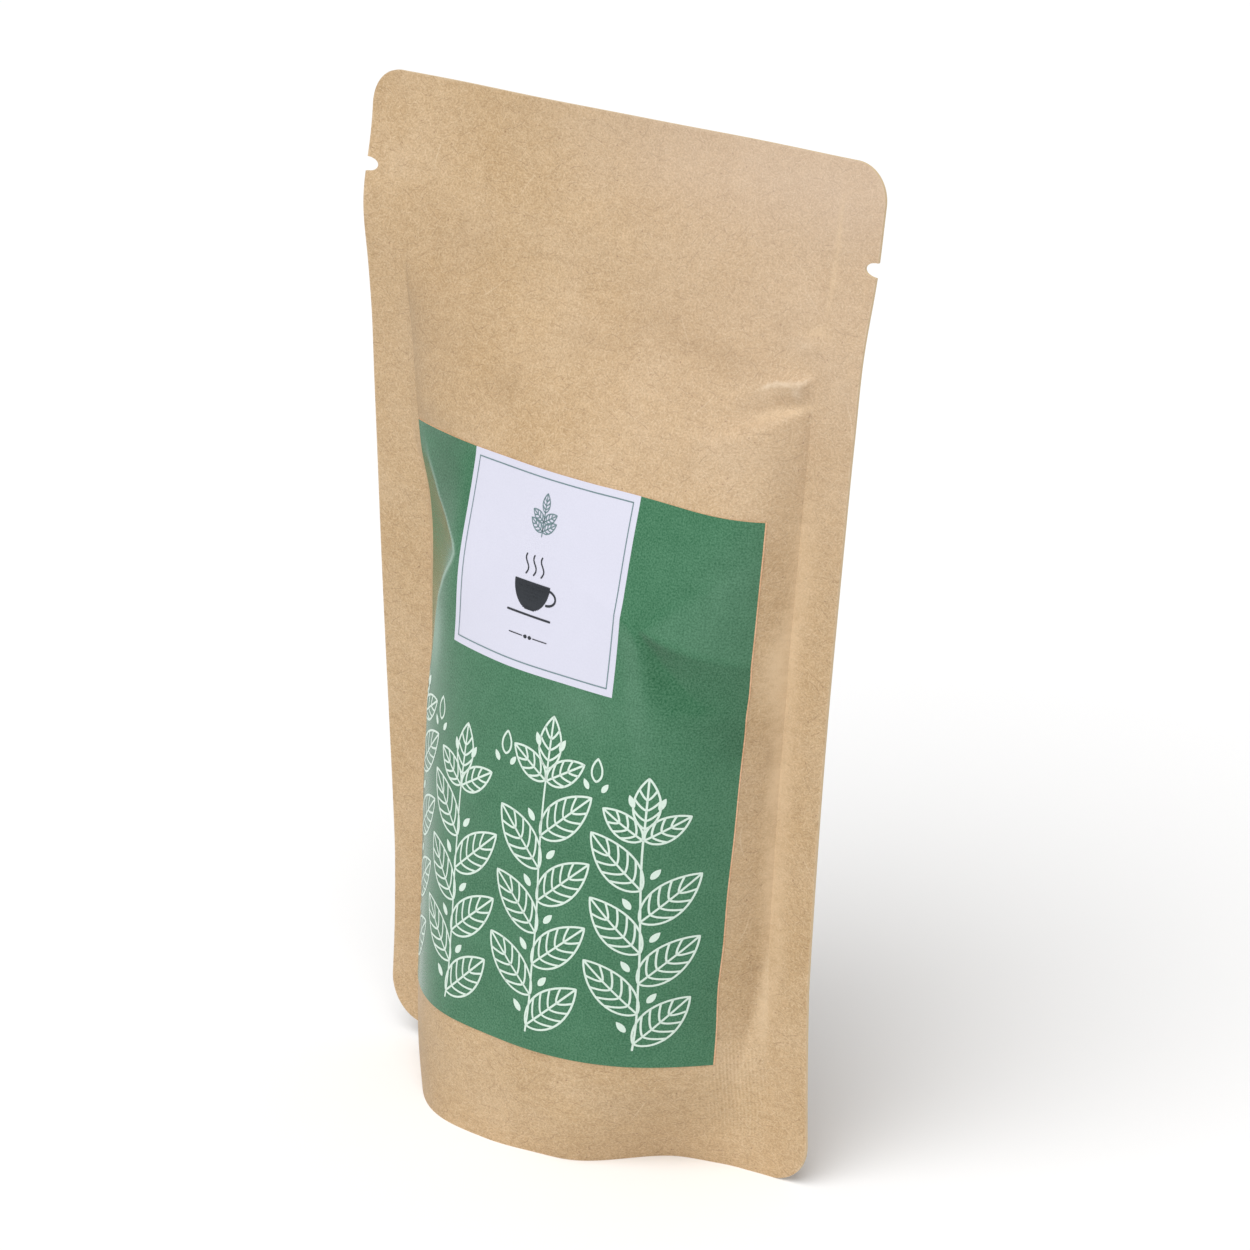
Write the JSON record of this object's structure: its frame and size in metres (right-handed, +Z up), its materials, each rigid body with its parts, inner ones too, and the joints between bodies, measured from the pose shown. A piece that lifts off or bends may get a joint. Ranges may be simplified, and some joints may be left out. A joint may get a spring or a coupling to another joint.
{
  "type": "stand-up tea pouch",
  "caption": "Sealed kraft paper stand-up pouch of loose tea with side seals, tear notches, a gusset foot and a printed front label.",
  "frame": {"origin": "on the table under the middle of the pouch, in the plane of the side seals", "axes": "+Z up to the sealed top edge, +X to the right seen from the front, -Y out of the labelled front"},
  "size_m": [0.1094, 0.0478, 0.1785],
  "materials": {
    "kraft_paper": "matt brown kraft paper laminate with short fibres and small specks",
    "label_paper": "green printed paper label with a soft satin sheen, a white panel and pale line leaves"
  },
  "bodies": {
    "root": {"pouch": "kraft_paper", "label": "label_paper"}
  },
  "joints": []
}
